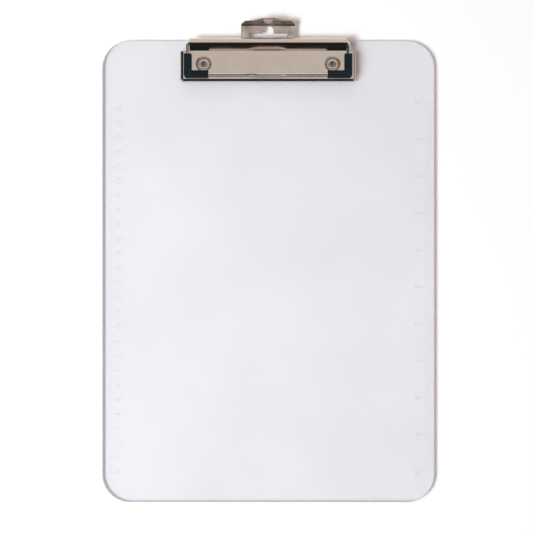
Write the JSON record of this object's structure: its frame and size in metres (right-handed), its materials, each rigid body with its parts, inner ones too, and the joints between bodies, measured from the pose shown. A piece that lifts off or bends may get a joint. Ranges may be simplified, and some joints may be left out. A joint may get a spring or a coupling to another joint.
{
  "type": "clipboard",
  "caption": "Clear plastic writing board with a low spring clip worked by a wire bow, rubber corner grips and a slide-out hanger.",
  "frame": {"origin": "centre of the board's back face", "axes": "+X to the right, +Y along the board towards the clip, +Z out of the writing face"},
  "size_m": [0.2286, 0.332, 0.0113],
  "materials": {
    "clear_plastic": "clear moulded plastic, polished",
    "nickel_plate": "bright nickel plating on pressed steel",
    "nickel_wire": "bright nickel plating on spring wire",
    "nickel_eyelet": "bright nickel plating on rolled steel",
    "spring_steel": "drawn spring wire",
    "grip_rubber": "moulded rubber, satin, blue-black"
  },
  "bodies": {
    "board_assembly": {"board": "clear_plastic", "clip_plate": "nickel_plate", "left_eyelet": "nickel_eyelet", "right_eyelet": "nickel_eyelet", "left_washer": "nickel_eyelet", "right_washer": "nickel_eyelet", "left_torsion_spring": "spring_steel", "right_torsion_spring": "spring_steel"},
    "bow": {"wire_bow": "nickel_wire", "left_corner_grip": "grip_rubber", "right_corner_grip": "grip_rubber"},
    "hanger": {"hanger": "nickel_plate"}
  },
  "joints": [
    {"name": "bow_hinge", "type": "hinge", "parent": "board_assembly", "child": "bow", "pos_m": [0, 0.157, 0.00745], "axis": [-1, 0, 0], "range_deg": [0, 90], "stiffness_Nm_per_rad": 0.17, "springref_deg": -57.3, "deforming": ["left_torsion_spring", "right_torsion_spring"]},
    {"name": "hanger_slide", "type": "slide", "parent": "board_assembly", "child": "hanger", "axis": [0, -1, 0], "range_m": [0, 0.0085]}
  ]
}
